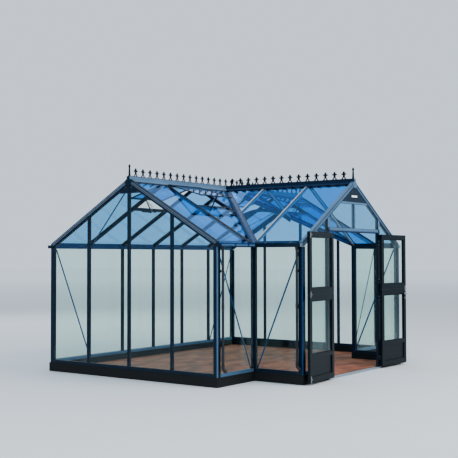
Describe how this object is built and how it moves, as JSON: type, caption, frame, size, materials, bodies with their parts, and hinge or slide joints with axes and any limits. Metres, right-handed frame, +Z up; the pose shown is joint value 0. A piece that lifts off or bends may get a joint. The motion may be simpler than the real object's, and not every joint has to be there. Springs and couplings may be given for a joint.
{
  "type": "glass greenhouse",
  "caption": "Free-standing aluminium greenhouse with a gabled wing, propped roof windows, ridge cresting and hinged double doors.",
  "frame": {"origin": "on the ground, below the middle of the main ridge", "axes": "+X along the main ridge, +Z up, the doors face -Y"},
  "size_m": [4.434, 3.8831, 2.845],
  "materials": {
    "frame_anthracite": "satin powder coat, blue-black anthracite",
    "plinth_black": "satin black powder coat",
    "clear_glass": "clear toughened glass",
    "terracotta_tiles": "matt terracotta tiles",
    "bright_fittings": "brushed stainless steel"
  },
  "bodies": {
    "house": {"apex_plates": "frame_anthracite", "arched_tie": "frame_anthracite", "back_gutter": "frame_anthracite", "back_slope_bars": "frame_anthracite", "back_slope_glass": "clear_glass", "back_wall_bars": "frame_anthracite", "back_wall_glass": "clear_glass", "base_fronts": "plinth_black", "base_sides": "plinth_black", "braces": "frame_anthracite", "door_head": "frame_anthracite", "door_jambs": "frame_anthracite", "door_threshold": "frame_anthracite", "downpipes": "frame_anthracite", "floor": "terracotta_tiles", "front_gutters": "frame_anthracite", "front_slope_bars": "frame_anthracite", "front_slope_glass": "clear_glass", "front_wall_glass": "clear_glass", "gable_bars": "frame_anthracite", "inner_corner_posts": "frame_anthracite", "left_gable_glass": "clear_glass", "left_gable_rafters": "frame_anthracite", "outer_corner_posts": "frame_anthracite", "ridge_main": "frame_anthracite", "ridge_ornaments": "frame_anthracite", "ridge_wing": "frame_anthracite", "right_gable_glass": "clear_glass", "right_gable_rafters": "frame_anthracite", "roof_window_frames": "frame_anthracite", "roof_window_glass": "clear_glass", "roof_window_props": "frame_anthracite", "sill_rails_fronts": "frame_anthracite", "sill_rails_sides": "frame_anthracite", "valleys": "frame_anthracite", "wing_front_glass": "clear_glass", "wing_gable_rafters": "frame_anthracite", "wing_gutters": "frame_anthracite", "wing_side_glass": "clear_glass", "wing_slope_bars": "frame_anthracite", "wing_slope_glass": "clear_glass"},
    "left_leaf": {"left_leaf_frame": "frame_anthracite", "left_leaf_glass": "clear_glass", "left_leaf_fittings": "bright_fittings"},
    "right_leaf": {"right_leaf_frame": "frame_anthracite", "right_leaf_glass": "clear_glass", "right_leaf_fittings": "bright_fittings"}
  },
  "joints": [
    {"name": "left_door_hinge", "type": "hinge", "parent": "house", "child": "left_leaf", "pos_m": [-0.707, -2.217, 0], "axis": [0, 0, 1], "range_deg": [0, 176]},
    {"name": "right_door_hinge", "type": "hinge", "parent": "house", "child": "right_leaf", "pos_m": [0.707, -2.217, 0], "axis": [0, 0, -1], "range_deg": [0, 176]}
  ]
}
